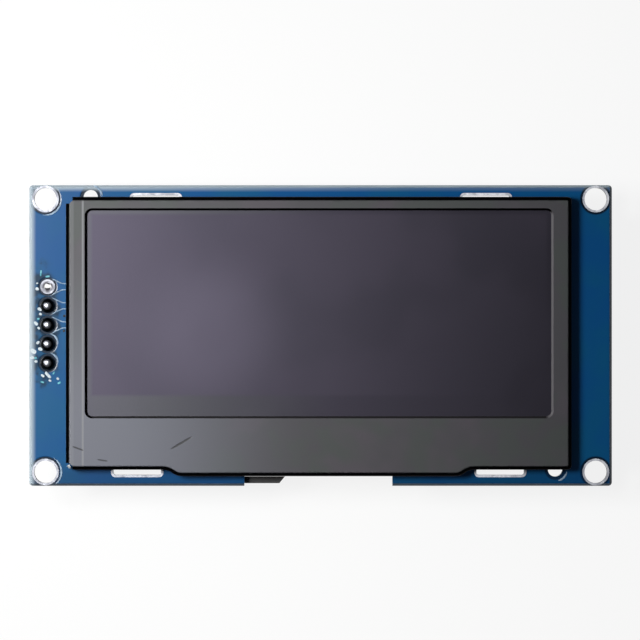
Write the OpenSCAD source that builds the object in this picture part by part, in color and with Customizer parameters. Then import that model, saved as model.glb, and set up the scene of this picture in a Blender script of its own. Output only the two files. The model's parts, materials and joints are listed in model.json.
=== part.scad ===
// Small OLED display module. A glass display panel sits in a folded sheet-metal
// bezel, whose tabs hold it to a blue circuit board with four corner holes.
// A four-pin header is soldered at the left edge, and the parts that feed the
// panel are on the back.
//
// Millimetres. The origin is the middle of the corner holes on the board's back
// face. The screen looks up along +Z, and +Y is the top of the picture.

/* [Display panel] */
// Width of the front glass
glass_w = 64.7; // [50:0.1:80]
// Height of the front glass, with its ledge
glass_h = 34.4; // [28:0.1:44]
// Thickness of each of the two glass plates
glass_t = 0.7; // [0.4:0.05:1.1]
// Height of the ledge that the back glass leaves free, for the driver and flex
ledge_h = 4.1; // [3.6:0.1:7]
// How far the back glass stays inside the front glass on the other sides
cover_inset = 0.5; // [0.2:0.1:2]
// Thickness of the polarizer film
polarizer_t = 0.2; // [0.1:0.05:0.3]
// How far the polarizer stays inside the glass edge
polarizer_inset = 0.1; // [0.05:0.05:0.5]
// How far the polarizer runs on below the window
polarizer_lap = 0.6; // [0.2:0.1:1.5]
// Thickness of the adhesive foam behind the panel
foam_t = 0.5; // [0.3:0.1:1.5]
// How far the foam stays inside the back glass
foam_inset = 1; // [0.5:0.1:4]
// Length of the driver chip
driver_w = 13; // [8:0.5:20]
// Height of the driver chip
driver_h = 1.3; // [0.8:0.1:1.6]
// Thickness of the driver chip
driver_t = 0.35; // [0.2:0.05:0.5]

/* [Bezel] */
// Thickness of the sheet metal
sheet_t = 0.4; // [0.3:0.05:0.5]
// Outside radius of the folds
fold_r = 0.6; // [0.5:0.05:0.8]
// Gap between the polarizer and the sheet
face_clear = 0.1; // [0.05:0.05:0.4]
// Gap between the glass and each side wall
glass_clear_x = 0.8; // [0.4:0.1:1.5]
// Gap between the glass and the top and bottom walls
glass_clear_y = 0.5; // [0.3:0.1:1]
// Face left of the window
border_left = 2.8; // [2:0.05:5]
// Face right of the window
border_right = 2.7; // [2:0.05:5]
// Face above the window
border_top = 1.8; // [1.4:0.05:4]
// Face below the window
border_bottom = 7.1; // [5.5:0.1:9]
// Corner radius of the window
window_r = 0.7; // [0.5:0.1:2]
// Width and depth of the coined bevel round the window
window_bevel = 0.28; // [0.1:0.02:0.28]
// Length of the straight edge of the bulge that clears the flex
bulge_w = 36.2; // [24:0.2:38]
// How far the bulge stands out
bulge_drop = 0.86; // [0.6:0.02:1]
// Side shift of the bulge, the notch and the flex
bulge_x = -0.3; // [-1:0.1:1]
// Opening left at each corner between two walls
corner_relief = 0.3; // [0.3:0.1:1]
// Width of a tab
tab_w = 5.2; // [3:0.1:6]
// Length of the tab's foot behind the board
tab_foot = 1.6; // [1:0.1:2.5]
// Inside radius of the tab's bend
tab_bend_r = 0.2; // [0.1:0.05:0.3]
// From the bezel's left edge to the middle of the top left tab
top_tab_left = 11.9; // [6:0.1:16]
// From the bezel's right edge to the middle of the top right tab
top_tab_right = 11.3; // [6:0.1:16]
// From the bezel's side edges to the middle of the bottom tabs
bottom_tab_side = 9.4; // [5:0.1:10]

/* [Board] */
// Board left of the bezel
margin_left = 4.95; // [4.7:0.05:10]
// Board right of the bezel
margin_right = 5.45; // [4:0.05:10]
// Board above the bezel
margin_top = 1.6; // [1.6:0.05:6]
// Board below the bezel
margin_bottom = 2.2; // [2:0.05:6]
// Thickness of the board
board_t = 1.6; // [1:0.1:2]
// Corner radius of the board
board_corner_r = 0.5; // [0.3:0.1:1.5]
// Width of the V-score bevel on the board's edges
score_w = 0.3; // [0.1:0.05:0.3]
// Depth of the V-score bevel, from each face
score_d = 0.45; // [0.2:0.05:0.45]
// Bore of the corner holes
hole_d = 3; // [2.2:0.1:3]
// From the side edges to the middle of the corner holes
hole_inset_x = 2.15; // [2.1:0.05:2.5]
// From the top and bottom edges to the middle of the corner holes
hole_inset_y = 1.85; // [1.8:0.05:2.5]
// Width of the tinned ring round a corner hole
hole_land = 0.28; // [0.15:0.01:0.28]
// Thickness of the tinned copper
copper_t = 0.05; // [0.03:0.01:0.08]
// Gap left open outside the top tabs in their slots
slot_open_top = 0.25; // [0.1:0.05:0.5]
// Gap left open outside the bottom tabs in their slots
slot_open_bottom = 0.75; // [0.1:0.05:0.8]
// Gap between a tab and the ends of its slot
slot_end_clear = 0.57; // [0.2:0.01:0.8]
// Width of the tinned rim round a slot
slot_land = 0.3; // [0.2:0.02:0.5]
// Bore of the two locating holes
locating_d = 1.95; // [1:0.05:2]
// Ring free of copper round a locating hole
locating_ring = 0.38; // [0.2:0.02:0.6]
// From the bezel's left edge to the top locating hole
locating_side_top = 3.2; // [2.5:0.1:6]
// From the bezel's right edge to the bottom locating hole
locating_side_bottom = 2.1; // [1.5:0.1:3.5]
// Width of the notch for the flex
notch_w = 19.7; // [18.5:0.1:24]
// Depth of the notch
notch_depth = 4; // [3.8:0.1:5]
// Corner radius inside the notch
notch_r = 0.4; // [0.2:0.1:1]
// Height of the copper tracks on the front, under the lacquer
track_t = 0.03; // [0.02:0.01:0.05]
// Width of a copper track
track_w = 0.7; // [0.3:0.05:1]

/* [Pin header] */
// Spacing of the header's holes
pitch = 2.54; // [2:0.27:2.54]
// From the board's left edge to the row of header holes
header_inset = 2.45; // [2.2:0.05:2.7]
// Middle of the five holes above the board's centre line
header_y = 1.41; // [-4:0.1:4]
// Diameter of a header pad
pad_d = 1.95; // [1.5:0.05:1.95]
// Bore of a header hole
pad_hole_d = 1; // [0.95:0.05:1.1]
// Side of a header pin
pin_w = 0.64; // [0.5:0.02:0.64]
// Length of a pin beyond its plastic body
pin_out = 6; // [3:0.5:12]
// Length of a pin's point
pin_point = 0.6; // [0.3:0.1:1]
// How far a pin comes through to the front
pin_stub = 0.6; // [0.3:0.1:0.7]
// Thickness of the header's plastic body
header_body_t = 2.54; // [1.5:0.02:2.54]
// Corner cut of the header's plastic body
header_chamfer = 0.4; // [0.1:0.1:0.6]
// Height of a solder dome
solder_h = 0.95; // [0.8:0.05:1.1]

/* [Flex and tape] */
// Width of the flex
flex_w = 17.5; // [14:0.1:17.8]
// Thickness of the flex
flex_t = 0.12; // [0.08:0.01:0.2]
// Gap between the flex's bend and the bezel wall
flex_clear = 0.1; // [0.05:0.05:0.3]
// Length of flex bonded to the ledge
bond_len = 1.2; // [0.8:0.1:1.4]
// Length of the flex behind the board, from the notch
flex_tail = 6.2; // [4:0.1:8]
// Pads that the tail is soldered to
finger_count = 24; // [10:1:30]
// How much of each pad shows beyond the tail
finger_out = 0.9; // [0.5:0.1:1.5]
// Thickness of the tape
tape_t = 0.08; // [0.05:0.01:0.15]
// Height of the tape strip
tape_h = 0.9; // [0.6:0.1:1]
// Length of tape across the notch
tape_reach = 5.4; // [3:0.1:12]
// Length of tape stuck behind the board
tape_grip = 3; // [2:0.1:6]
// How far the tape's cut end slants
tape_slant = 0.75; // [0:0.05:1.5]
// Gap between the bezel's bulge and the tape
tape_gap = 0.12; // [0.05:0.01:0.3]

/* [Parts on the back] */
// Width of the inductor's square shell
inductor_w = 4; // [3.4:0.1:4.4]
// Height of the inductor
inductor_t = 1.8; // [1.2:0.1:3]
// Wall of the inductor's shell at its thinnest
inductor_wall = 0.3; // [0.2:0.05:0.4]
// Gap between the shell and the drum core
drum_clear = 0.15; // [0.1:0.05:0.3]
// Length of a small-outline package
package_l = 2.9; // [2.6:0.1:3]
// Width of a small-outline package
package_w = 1.5; // [1.3:0.1:1.7]
// Height of a small-outline package
package_t = 1.1; // [0.8:0.05:1.3]
// Length of a ceramic capacitor
capacitor_l = 2; // [1.6:0.1:2.2]
// Length of a chip resistor
resistor_l = 1.6; // [1.2:0.1:1.8]

/* [Hidden] */
// One round face takes this many steps in the preview.
$fn = 64;
// Cuts run past the face that they open by this much.
over = 0.2;

// The glass sets the bezel, and the bezel sets the board.
bezel_w = glass_w + 2 * (glass_clear_x + sheet_t);
bezel_h = glass_h + 2 * (glass_clear_y + sheet_t);
board_w = margin_left + bezel_w + margin_right;
board_h = margin_bottom + bezel_h + margin_top;
board_left = -board_w / 2;
board_bottom = -board_h / 2;
bezel_left = board_left + margin_left;
bezel_right = bezel_left + bezel_w;
bezel_bottom = board_bottom + margin_bottom;
bezel_top = bezel_bottom + bezel_h;

// Heights, from the board's back face upward.
land_z = board_t + copper_t;
foam_top = board_t + foam_t;
ledge_z = foam_top + glass_t;
glass_top = ledge_z + glass_t;
polarizer_top = glass_top + polarizer_t;
face_z = polarizer_top + face_clear;
face_top = face_z + sheet_t;

// The panel's plates, as [left, bottom, right, top].
glass_box = [bezel_left + sheet_t + glass_clear_x, bezel_bottom + sheet_t + glass_clear_y,
             bezel_right - sheet_t - glass_clear_x, bezel_top - sheet_t - glass_clear_y];
cover_box = [glass_box[0] + cover_inset, glass_box[1] + ledge_h,
             glass_box[2] - cover_inset, glass_box[3] - cover_inset];
foam_box = [cover_box[0] + foam_inset, cover_box[1] + foam_inset,
            cover_box[2] - foam_inset, cover_box[3] - foam_inset];
window_box = [bezel_left + border_left, bezel_bottom + border_bottom,
              bezel_right - border_right, bezel_top - border_top];
polarizer_box = [glass_box[0] + polarizer_inset, window_box[1] - polarizer_lap,
                 glass_box[2] - polarizer_inset, glass_box[3] - polarizer_inset];

// The bulge in the bottom wall: an S of two equal arcs on each side of it. Each arc
// turns through the small angle of a 3-4-5 triangle, which gives its radius and run.
bulge_turn = acos(0.8);
bulge_r = 2.5 * bulge_drop;
bulge_run = 3 * bulge_drop;
bulge_bottom = bezel_bottom - bulge_drop;
bulge_ends = [bulge_x - bulge_w / 2, bulge_x + bulge_w / 2];

// Tabs, as [x, outer face of the wall, outward direction in y, slot open outside it].
// Inside the tab a slot is open as far as the foot's bend reaches.
tabs = [[bezel_left + top_tab_left, bezel_top, 1, slot_open_top],
        [bezel_right - top_tab_right, bezel_top, 1, slot_open_top],
        [bezel_left + bottom_tab_side, bezel_bottom, -1, slot_open_bottom],
        [bezel_right - bottom_tab_side, bezel_bottom, -1, slot_open_bottom]];
slot_l = tab_w + 2 * slot_end_clear;
slot_in = sheet_t + tab_bend_r;
slot_r = 0.3;

// Holes in the board.
hole_x = board_w / 2 - hole_inset_x;
hole_y = board_h / 2 - hole_inset_y;
locating_holes = [[bezel_left + locating_side_top, bezel_top],
                  [bezel_right - locating_side_bottom, bezel_bottom]];
header_x = board_left + header_inset;
// Hole 0 is the empty one at the top, and holes 1 to 4 take the pins.
function header_hole(i) = [header_x, header_y + (2 - i) * pitch];

// The flex's half-round bend, from the ledge down through the notch to the back face.
bend_top = ledge_z;
bend_low = -copper_t - flex_t;
bend_r = (bend_top - bend_low) / 2;
bend_y = bulge_bottom + sheet_t + flex_clear + bend_r;
notch_top = board_bottom + notch_depth;
tail_end = notch_top + flex_tail;
finger_pitch = (flex_w - 0.7) / finger_count;
finger_l = 2.4;

// Parts on the back stand on pads, in columns and rows counted from the header's
// middle hole: the chips between two rows of capacitors, and the resistors in a row.
columns = [7.5, 13, 18.5, 23.5];
chip_row = 4;
capacitor_rows = [0.3, 7.8];
resistor_row = -4.5;
resistor_step = 2.6;
function back_place(column, row) = [header_x + columns[column], header_y + row];
regulator_at = back_place(0, chip_row);
inductor_at = back_place(1, chip_row);
converter_at = back_place(2, chip_row);
diode_at = back_place(3, chip_row);
capacitors_at = [for (column = [0, 2, 3]) for (row = capacitor_rows) back_place(column, row)];
resistors_at = [for (i = [0:7]) back_place(0, resistor_row) + [i * resistor_step, 0]];
capacitor_w = 1.25;
capacitor_t = 0.85;
resistor_w = 0.8;
resistor_t = 0.45;
terminal_l = 0.35;
pad_out = 0.45;
lead_w = 0.4;
lead_t = 0.15;
lead_foot = 0.4;
lead_out = 0.65;
lead_step = 0.95;
diode_lead_w = 0.6;
inductor_pad_w = 1.2;

// A rectangle with rounded corners, about the origin.
module round_rect(w, h, r) {
    square([w, h - 2 * r], center = true);
    square([w - 2 * r, h], center = true);
    for (x = [-1, 1]) for (y = [-1, 1])
        translate([x * (w / 2 - r), y * (h / 2 - r)]) circle(r);
}

// The same, between the sides of a box [left, bottom, right, top].
module box_rect(b, r) {
    translate([(b[0] + b[2]) / 2, (b[1] + b[3]) / 2])
        round_rect(b[2] - b[0], b[3] - b[1], r);
}

// A flat plate between two heights.
module plate(b, r, z0, z1) {
    translate([0, 0, z0]) linear_extrude(z1 - z0) box_rect(b, r);
}

// Runs a profile along X: its x becomes Y, and its y becomes Z.
module along_x(length) {
    rotate([90, 0, 90]) linear_extrude(length, center = true) children();
}

// Stands a part on the back face, with its own up pointing away from the board.
module on_back(at) {
    translate([at[0], at[1], -copper_t]) mirror([0, 0, 1]) children();
}

// A tube of tinned copper through the board, with a land on each face.
module eyelet(land) {
    difference() {
        union() {
            for (z = [-copper_t, board_t])
                translate([0, 0, z]) linear_extrude(copper_t) children(0);
            linear_extrude(board_t) children(1);
        }
        translate([0, 0, -over]) linear_extrude(board_t + 2 * over) children(2);
    }
}

// The slot of one tab, widened all round by grow.
module slot_shape(t, grow) {
    translate([t[0], t[1] + t[2] * (t[3] - slot_in) / 2])
        round_rect(slot_l + 2 * grow, slot_in + t[3] + 2 * grow, slot_r + grow);
}

module at_corner_holes() {
    for (x = [-hole_x, hole_x]) for (y = [-hole_y, hole_y]) translate([x, y]) children();
}

// Copper from a header pad to under the bezel, widening into a teardrop at the pad.
module track(i) {
    from = header_hole(i);
    reach = bezel_left + 2 - from[0];
    translate(from) {
        translate([0, -track_w / 2]) square([reach, track_w]);
        polygon([[0, pad_d / 2], [pad_d, track_w / 2], [pad_d, -track_w / 2], [0, -pad_d / 2]]);
    }
}

// One V-score wedge along the line y = 0, with the board at y > 0.
module score_wedge(length) {
    slope = score_d / score_w;
    for (side = [0, 1]) translate([0, 0, side * board_t]) mirror([0, 0, side])
        along_x(length)
            polygon([[score_w + over, -over * slope], [-over, score_d + over * slope],
                     [-over, -over * slope]]);
}

module pcb() {
    color("#2a6099") difference() {
        union() {
            linear_extrude(board_t) difference() {
                round_rect(board_w, board_h, board_corner_r);
                translate([bulge_x, board_bottom])
                    round_rect(notch_w, 2 * notch_depth, notch_r);
            }
            translate([0, 0, board_t]) linear_extrude(track_t) difference() {
                for (i = [0:2]) track(i);
                for (i = [0:2]) translate(header_hole(i)) circle(d = pad_d);
            }
        }
        translate([0, 0, -over]) linear_extrude(board_t + 2 * over) {
            at_corner_holes() circle(d = hole_d + 2 * copper_t);
            for (t = tabs) slot_shape(t, copper_t);
            for (at = locating_holes) translate(at) circle(d = locating_d);
            for (i = [0:4]) translate(header_hole(i)) circle(d = pad_hole_d + 2 * copper_t);
        }
        translate([0, 0, board_t - track_t]) linear_extrude(over) {
            for (at = locating_holes) translate(at) circle(d = locating_d + 2 * locating_ring);
        }
        for (turn = [0, 180]) rotate([0, 0, turn]) {
            translate([0, board_bottom]) score_wedge(board_w + 2);
            rotate([0, 0, 90]) translate([0, board_left]) score_wedge(board_h + 2);
        }
    }
}

module corner_hole_lands() {
    color("silver") at_corner_holes() eyelet() {
        circle(d = hole_d + 2 * hole_land);
        circle(d = hole_d + 2 * copper_t);
        circle(d = hole_d);
    }
}

module tab_slot_lands() {
    color("silver") for (t = tabs) eyelet() {
        slot_shape(t, slot_land);
        slot_shape(t, copper_t);
        slot_shape(t, 0);
    }
}

module header_lands() {
    color("silver") for (i = [0:4]) translate(header_hole(i)) eyelet() {
        circle(d = pad_d);
        circle(d = pad_hole_d + 2 * copper_t);
        circle(d = pad_hole_d);
    }
}

// The bezel's section at a fold. The wall's outer face is at x = 0.
module fold_section() {
    translate([-sheet_t, land_z]) square([sheet_t, face_top - fold_r - land_z]);
    translate([-fold_r, face_top - fold_r]) intersection() {
        difference() {
            circle(fold_r);
            circle(fold_r - sheet_t);
        }
        square(fold_r);
    }
}

// A straight wall with its fold, from one point to another along its outer face.
// The outside is on the right of the way from the first to the second.
module wall(from, to) {
    length = norm(to - from);
    heading = atan2(to[1] - from[1], to[0] - from[0]);
    translate((from + to) / 2) rotate([0, 0, heading - 90]) rotate([90, 0, 0])
        linear_extrude(length, center = true) fold_section();
}

// The middles of the two arcs of an S, from the point where the bulge's straight
// edge starts, at the height of the walls beside the bulge.
bend_out = [0, bulge_r - bulge_drop];
bend_in = [-bulge_run, -bulge_r];

// Both arcs of the wall in the S at the bulge's left end.
module bulge_wall() {
    translate(bend_in) rotate([0, 0, 90 - bulge_turn]) rotate_extrude(angle = bulge_turn)
        translate([bulge_r, 0]) mirror([1, 0]) fold_section();
    translate(bend_out) rotate([0, 0, 270 - bulge_turn]) rotate_extrude(angle = bulge_turn)
        translate([bulge_r, 0]) fold_section();
}

// The flat face beside that wall.
module bulge_face() {
    difference() {
        polygon([bend_in, [bend_in[0], bend_out[1]], bend_out]);
        translate(bend_in) circle(bulge_r + fold_r);
    }
    translate(bend_out) intersection() {
        circle(bulge_r - fold_r);
        polygon([[0, 0], bend_in - bend_out, [0, -2 * bulge_r]]);
    }
}

// Both ends of the bulge.
module at_bulge_ends() {
    for (end = [0, 1])
        translate([bulge_ends[end], bezel_bottom]) mirror([end, 0]) children();
}

module face_plate() {
    translate([0, 0, face_z]) linear_extrude(sheet_t) {
        box_rect([bezel_left + fold_r, bezel_bottom + fold_r,
                  bezel_right - fold_r, bezel_top - fold_r], corner_relief);
        translate([bulge_ends[0], bulge_bottom + fold_r]) square([bulge_w, bulge_r - fold_r]);
        at_bulge_ends() bulge_face();
    }
}

// The window, with its coined bevel swept along the sides and round the corners.
module window_cut() {
    w = window_box[2] - window_box[0];
    h = window_box[3] - window_box[1];
    module bevel_section() {
        polygon([[-over, face_top - window_bevel], [0, face_top - window_bevel],
                 [window_bevel, face_top], [window_bevel, face_top + over],
                 [-over, face_top + over]]);
    }
    plate(window_box, window_r, face_z - over, face_top + over);
    translate([window_box[0] + w / 2, window_box[1] + h / 2]) {
        for (turn = [0, 180]) rotate([0, 0, turn]) {
            translate([w / 2, 0]) rotate([90, 0, 0])
                linear_extrude(h - 2 * window_r, center = true) bevel_section();
            rotate([0, 0, 90]) translate([h / 2, 0]) rotate([90, 0, 0])
                linear_extrude(w - 2 * window_r, center = true) bevel_section();
        }
        for (x = [0, 1]) for (y = [0, 1]) mirror([x, 0]) mirror([0, y])
            translate([w / 2 - window_r, h / 2 - window_r]) rotate_extrude(angle = 90)
                translate([window_r, 0]) bevel_section();
    }
}

// A tab goes down from the wall through its slot, and its foot is folded inward
// against the land on the back face.
module tab(t) {
    centre = [-sheet_t - tab_bend_r, -copper_t + tab_bend_r];
    translate([t[0], t[1]]) rotate([0, 0, t[2] * 90]) rotate([90, 0, 0])
        linear_extrude(tab_w, center = true) {
            translate([-sheet_t, centre[1]]) square([sheet_t, land_z - centre[1]]);
            translate(centre) intersection() {
                difference() {
                    circle(tab_bend_r + sheet_t);
                    circle(tab_bend_r);
                }
                translate([0, -1]) square(1);
            }
            translate([centre[0] - tab_foot, -copper_t - sheet_t]) square([tab_foot, sheet_t]);
        }
}

module bezel() {
    near = fold_r + corner_relief;
    color("#3c3c40") {
        difference() {
            union() {
                face_plate();
                wall([bezel_left + near, bezel_bottom], [bulge_ends[0] - bulge_run, bezel_bottom]);
                wall([bulge_ends[0], bulge_bottom], [bulge_ends[1], bulge_bottom]);
                wall([bulge_ends[1] + bulge_run, bezel_bottom], [bezel_right - near, bezel_bottom]);
                wall([bezel_right, bezel_bottom + near], [bezel_right, bezel_top - near]);
                wall([bezel_right - near, bezel_top], [bezel_left + near, bezel_top]);
                wall([bezel_left, bezel_top - near], [bezel_left, bezel_bottom + near]);
                at_bulge_ends() bulge_wall();
            }
            window_cut();
        }
        for (t = tabs) tab(t);
    }
}

module front_polarizer() {
    color("#4d4858") plate(polarizer_box, 0.2, glass_top, polarizer_top);
}

module front_glass() {
    color("#8fa3a8") plate(glass_box, 0.2, ledge_z, glass_top);
}

module back_glass() {
    color("#9aa7ad") plate(cover_box, 0.2, foam_top, ledge_z);
}

module foam_pad() {
    color("#26262a") plate(foam_box, 1, board_t, foam_top);
}

module driver_chip() {
    middle = (bend_y + bond_len + cover_box[1]) / 2;
    color("#55585f") translate([bulge_x - driver_w / 2, middle - driver_h / 2, ledge_z - driver_t])
        cube([driver_w, driver_h, driver_t]);
}

// Bonded under the ledge, bent half round through the notch, and flat behind the board.
module panel_flex() {
    color("#b5702a") translate([bulge_x, 0]) along_x(flex_w) {
        translate([bend_y, bend_top - flex_t]) square([bond_len, flex_t]);
        translate([bend_y, bend_low]) square([tail_end - bend_y, flex_t]);
        translate([bend_y, (bend_top + bend_low) / 2]) intersection() {
            difference() {
                circle(bend_r);
                circle(bend_r - flex_t);
            }
            translate([-2 * bend_r, -2 * bend_r]) square([2 * bend_r, 4 * bend_r]);
        }
    }
}

module at_fingers() {
    for (i = [0:finger_count - 1])
        translate([bulge_x + (i - (finger_count - 1) / 2) * finger_pitch, tail_end]) children();
}

module flex_pads() {
    color("silver") translate([0, 0, -copper_t]) linear_extrude(copper_t)
        at_fingers() translate([-finger_pitch / 4, finger_out - finger_l])
            square([finger_pitch / 2, finger_l]);
}

// A bead of solder on the showing end of each pad, sloping down from the flex.
module flex_solder() {
    color("silver") at_fingers() along_x(finger_pitch / 2)
        polygon([[0, -copper_t], [0, -copper_t - flex_t], [finger_out * 0.3, -copper_t - flex_t],
                 [finger_out * 0.9, -copper_t - flex_t / 4], [finger_out * 0.9, -copper_t]]);
}

module flex_tape() {
    notch_left = bulge_x - notch_w / 2;
    top = bulge_bottom - tape_gap;
    color("#303030") translate([0, 0, -tape_t]) linear_extrude(tape_t)
        polygon([[notch_left - tape_grip, top], [notch_left + tape_reach, top],
                 [notch_left + tape_reach - tape_slant, top - tape_h],
                 [notch_left - tape_grip, top - tape_h]]);
}

// Four joined cells with cut corners, each bored for its pin.
module header_body() {
    cell = pitch / 2;
    cut = header_chamfer;
    color("#1c1c1e") translate([0, 0, -copper_t - header_body_t]) linear_extrude(header_body_t)
        difference() {
            for (i = [1:4]) translate(header_hole(i))
                polygon([[-cell, cut - cell], [cut - cell, -cell], [cell - cut, -cell],
                         [cell, cut - cell], [cell, cell - cut], [cell - cut, cell],
                         [cut - cell, cell], [-cell, cell - cut]]);
            for (i = [1:4]) translate(header_hole(i)) square(pin_w, center = true);
        }
}

pin_low = -copper_t - header_body_t - pin_out;
pin_high = land_z + pin_stub;

// A square pin with a point at its lower end.
module header_pin(i) {
    half = pin_w / 2;
    module side() {
        polygon([[-half, pin_high], [-half, pin_low + pin_point], [-half / 3, pin_low],
                 [half / 3, pin_low], [half, pin_low + pin_point], [half, pin_high]]);
    }
    color("gold") translate(header_hole(i)) intersection() {
        rotate([90, 0, 0]) linear_extrude(pin_w, center = true) side();
        along_x(pin_w) side();
    }
}

// A steep dome on the land, and the solder that fills the hole round the pin.
module solder_joint(i) {
    base_r = pad_d / 2 - 0.02;
    ball_r = (base_r * base_r + solder_h * solder_h) / (2 * solder_h);
    color("silver") translate(header_hole(i)) difference() {
        union() {
            intersection() {
                translate([0, 0, land_z + solder_h - ball_r]) sphere(ball_r);
                translate([0, 0, land_z]) cylinder(h = 2, r = 2);
            }
            cylinder(h = land_z, d = pad_hole_d);
        }
        translate([0, 0, (pin_high - over) / 2]) cube([pin_w, pin_w, pin_high + over], center = true);
    }
}

// A pad for each end of a two-ended chip that lies along X.
module end_pads(l, w) {
    for (x = [-1, 1])
        translate([x * (l / 2 + pad_out / 2 - terminal_l / 2), 0])
            square([terminal_l + pad_out, w], center = true);
}

module component_pads() {
    color("silver") translate([0, 0, -copper_t]) linear_extrude(copper_t) {
        for (at = capacitors_at) translate(at) end_pads(capacitor_l, capacitor_w);
        for (at = resistors_at) translate(at) rotate(90) end_pads(resistor_l, resistor_w);
        translate(inductor_at) end_pads(inductor_w, inductor_pad_w);
        translate(converter_at) at_leads([-1, 0, 1], [-1, 0, 1]) foot_pad(lead_w);
        translate(regulator_at) at_leads([-1, 1], [0]) foot_pad(lead_w);
        translate(diode_at) rotate(90) at_leads([0], [0]) foot_pad(diode_lead_w);
    }
}

// Places for the leads of a small-outline package, in steps along X on two sides.
// The children point outward along +Y from the package's side.
module at_leads(low, high) {
    for (s = high) translate([s * lead_step, package_w / 2]) children();
    for (s = low) translate([s * lead_step, -package_w / 2]) rotate(180) children();
}

module foot_pad(w) {
    translate([-w / 2 - 0.08, lead_out - lead_foot - 0.05]) square([w + 0.16, lead_foot + pad_out]);
}

// A gull-wing lead: out of the body's side, down, and along the pad.
module gull_lead(w) {
    high = package_t / 2;
    along_x(w) polygon([[0, high], [0, high + lead_t], [lead_out - lead_foot + lead_t, high + lead_t],
                        [lead_out - lead_foot + 2 * lead_t, lead_t], [lead_out, lead_t], [lead_out, 0],
                        [lead_out - lead_foot + lead_t * 0.6, 0], [lead_out - lead_foot, high]]);
}

// A moulded package with drafted sides, standing just clear of its pads.
module package_body(l, w, t) {
    draft = 0.12;
    module section(size) {
        polygon([[-size / 2 + draft, 0.08], [size / 2 - draft, 0.08], [size / 2, t / 2],
                 [size / 2, t / 2 + lead_t], [size / 2 - draft, t], [-size / 2 + draft, t],
                 [-size / 2, t / 2 + lead_t], [-size / 2, t / 2]]);
    }
    intersection() {
        along_x(l) section(w);
        rotate([90, 0, 0]) linear_extrude(w, center = true) section(l);
    }
}

module converter_body() {
    color("#202022") on_back(converter_at) package_body(package_l, package_w, package_t);
}

module converter_leads() {
    color("silver") on_back(converter_at) at_leads([-1, 0, 1], [-1, 0, 1]) gull_lead(lead_w);
}

module regulator_body() {
    color("#202022") on_back(regulator_at) package_body(package_l, package_w, package_t);
}

module regulator_leads() {
    color("silver") on_back(regulator_at) at_leads([-1, 1], [0]) gull_lead(lead_w);
}

module diode_body() {
    color("#202022") on_back(diode_at) rotate(90) package_body(package_l - 1.1, package_w, package_t);
}

module diode_leads() {
    color("silver") on_back(diode_at) rotate(90) at_leads([0], [0]) gull_lead(diode_lead_w);
}

inductor_bore_r = inductor_w / 2 - inductor_wall;
drum_r = inductor_bore_r - drum_clear;
flange_t = 0.35;

// The ferrite shell: square outside, with a round bore that the drum sits in.
module inductor_shell() {
    color("#4a4a4c") on_back(inductor_at) difference() {
        translate([0, 0, flange_t]) linear_extrude(inductor_t - flange_t)
            round_rect(inductor_w, inductor_w, 0.6);
        translate([0, 0, flange_t - over]) cylinder(h = inductor_t + over, r = inductor_bore_r);
    }
}

module inductor_drum() {
    color("#3a3a3c") on_back(inductor_at) {
        linear_extrude(flange_t) round_rect(inductor_w, inductor_w, 0.6);
        cylinder(h = inductor_t - 0.1, r = drum_r / 2);
        translate([0, 0, inductor_t - 0.1 - flange_t]) cylinder(h = flange_t, r = drum_r);
    }
}

module inductor_coil() {
    height = inductor_t - 0.1 - 2 * flange_t;
    color("#b0622e") on_back(inductor_at) translate([0, 0, flange_t]) difference() {
        cylinder(h = height, r = drum_r - 0.1);
        translate([0, 0, -over]) cylinder(h = height + 2 * over, r = drum_r / 2);
    }
}

// A clip of tinned copper up each end of the inductor.
module inductor_terminals() {
    clip_t = 0.1;
    color("silver") on_back(inductor_at) for (side = [0, 1]) mirror([side, 0])
        translate([inductor_w / 2, -inductor_pad_w / 2, 0]) cube([clip_t, inductor_pad_w, inductor_t / 2]);
}

// A chip's middle, and the plated ends that grip it.
module chip_middle(l, w, t) {
    translate([-l / 2 + terminal_l, -w / 2, 0.02]) cube([l - 2 * terminal_l, w, t - 0.04]);
}

module chip_ends(l, w, t) {
    for (side = [0, 1]) mirror([side, 0])
        translate([l / 2 - terminal_l, 0]) rotate([90, 0, 90]) linear_extrude(terminal_l)
            translate([0, t / 2]) round_rect(w, t, 0.06);
}

module capacitor_bodies() {
    color("#b79a6c") for (at = capacitors_at)
        on_back(at) chip_middle(capacitor_l, capacitor_w, capacitor_t);
}

module capacitor_ends() {
    color("silver") for (at = capacitors_at)
        on_back(at) chip_ends(capacitor_l, capacitor_w, capacitor_t);
}

module resistor_bodies() {
    color("#1b1b1d") for (at = resistors_at)
        on_back(at) rotate(90) chip_middle(resistor_l, resistor_w, resistor_t);
}

module resistor_ends() {
    color("silver") for (at = resistors_at)
        on_back(at) rotate(90) chip_ends(resistor_l, resistor_w, resistor_t);
}

// Solder climbs each chip end from the pad, on its outer side.
module end_fillets(l, w, t) {
    for (side = [0, 1]) mirror([side, 0]) translate([l / 2, 0, 0])
        rotate([90, 0, 0]) linear_extrude(w - 0.1, center = true)
            polygon([[0, 0], [0, t * 0.7], [pad_out * 0.3, t * 0.25], [pad_out * 0.8, 0]]);
}

module component_solder() {
    color("silver") {
        for (at = capacitors_at) on_back(at) end_fillets(capacitor_l, capacitor_w, capacitor_t);
        for (at = resistors_at) on_back(at) rotate(90) end_fillets(resistor_l, resistor_w, resistor_t);
    }
}

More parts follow.
